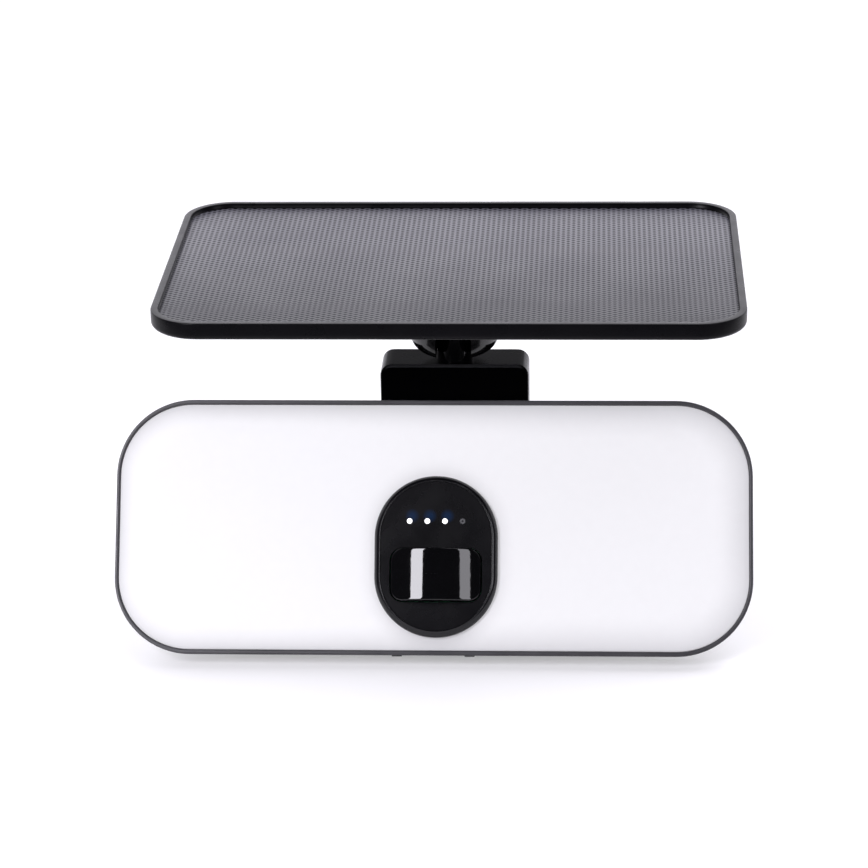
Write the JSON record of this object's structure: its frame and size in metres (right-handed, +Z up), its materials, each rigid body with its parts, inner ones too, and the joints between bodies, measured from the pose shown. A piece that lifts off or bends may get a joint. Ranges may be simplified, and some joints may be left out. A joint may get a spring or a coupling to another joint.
{
  "type": "solar floodlight with motion sensor",
  "caption": "Wall-mounted solar floodlight: wide opal lamp with an oval motion-sensor pod, tilting and panning on a bracket, under a swivelling solar panel.",
  "frame": {"origin": "middle of the wall mount's hole pattern, on the wall's surface", "axes": "+X to the right as seen from the front, +Y into the wall, +Z up"},
  "size_m": [0.25, 0.1751, 0.1361],
  "materials": {
    "black_plastic": "satin moulded, fine spark-eroded texture",
    "gloss_black": "polished",
    "bezel_grey": "satin",
    "opal": "frosted opal",
    "white_plastic": "matt",
    "solar_film": "dimpled film",
    "cell": "silicon",
    "steel": "zinc plated",
    "dark_steel": "black oxide",
    "brass": "turned",
    "rubber": "matt",
    "aluminium": "white solder mask",
    "board": "solder mask",
    "led": "phosphor",
    "lit": "lit light pipe",
    "unlit": "clear light pipe",
    "cell_wrap": "shrink sleeve"
  },
  "bodies": {
    "bracket": {"wall_plate": "steel", "base_screws": "dark_steel", "bracket_arm": "black_plastic", "arm_screws": "dark_steel", "bracket_body": "black_plastic", "neck_bush": "brass", "pan_bolt": "dark_steel", "pan_nut": "steel"},
    "neck": {"neck_stem": "gloss_black", "neck_washer": "steel", "neck_nut": "steel"},
    "panel": {"neck_cup": "gloss_black", "cup_screws": "steel", "panel_bolt": "dark_steel", "panel_nut": "steel", "panel_washers": "white_plastic", "panel_frame": "black_plastic", "solar_backsheet": "white_plastic", "solar_cells": "cell", "solar_film": "solar_film"},
    "knuckle": {"pan_knuckle": "black_plastic"},
    "lamp": {"tilt_bolt": "dark_steel", "tilt_nut": "steel", "tilt_washers": "white_plastic", "rear_housing": "black_plastic", "battery_cover": "black_plastic", "cover_seal": "rubber", "cover_screws": "steel", "front_bezel": "bezel_grey", "housing_gasket": "rubber", "housing_screws": "dark_steel", "diffuser": "opal", "reflector": "white_plastic", "led_board": "aluminium", "leds": "led", "board_screws": "steel", "pod_housing": "black_plastic", "pod_seal": "rubber", "pod_face": "black_plastic", "lit_indicators": "lit", "unlit_indicator": "unlit", "sensor_window": "gloss_black", "motion_sensor": "steel", "sensor_board": "board", "indicator_leds": "led", "sensor_screws": "steel", "control_board": "board", "board_parts": "black_plastic", "control_screws": "steel", "battery_cradle": "black_plastic", "battery_cells": "cell_wrap", "battery_contacts": "brass", "button_switches": "black_plastic"},
    "power_button": {"power_button": "rubber"},
    "mode_button": {"mode_button": "rubber"}
  },
  "joints": [
    {"name": "panel_swivel", "type": "hinge", "parent": "bracket", "child": "neck", "pos_m": [0, -0.08, 0.058], "axis": [0, 0, 1], "range_deg": [-90, 90]},
    {"name": "panel_tilt", "type": "hinge", "parent": "neck", "child": "panel", "pos_m": [0, -0.08, 0.0875], "axis": [1, 0, 0], "range_deg": [-25, 25]},
    {"name": "lamp_pan", "type": "hinge", "parent": "bracket", "child": "knuckle", "pos_m": [0, -0.09725, -0.0029], "axis": [0, 0, 1], "range_deg": [-20, 20]},
    {"name": "lamp_tilt", "type": "hinge", "parent": "knuckle", "child": "lamp", "pos_m": [0, -0.11185, -0.0029], "axis": [1, 0, 0], "range_deg": [-10, 75]},
    {"name": "power_press", "type": "slide", "parent": "lamp", "child": "power_button", "axis": [0, 0.5, 0.866], "range_m": [0, 0.0008], "stiffness_N_per_m": 600, "springref_m": -0.0005},
    {"name": "mode_press", "type": "slide", "parent": "lamp", "child": "mode_button", "axis": [0, 0.5, 0.866], "range_m": [0, 0.0008], "stiffness_N_per_m": 600, "springref_m": -0.0005}
  ]
}
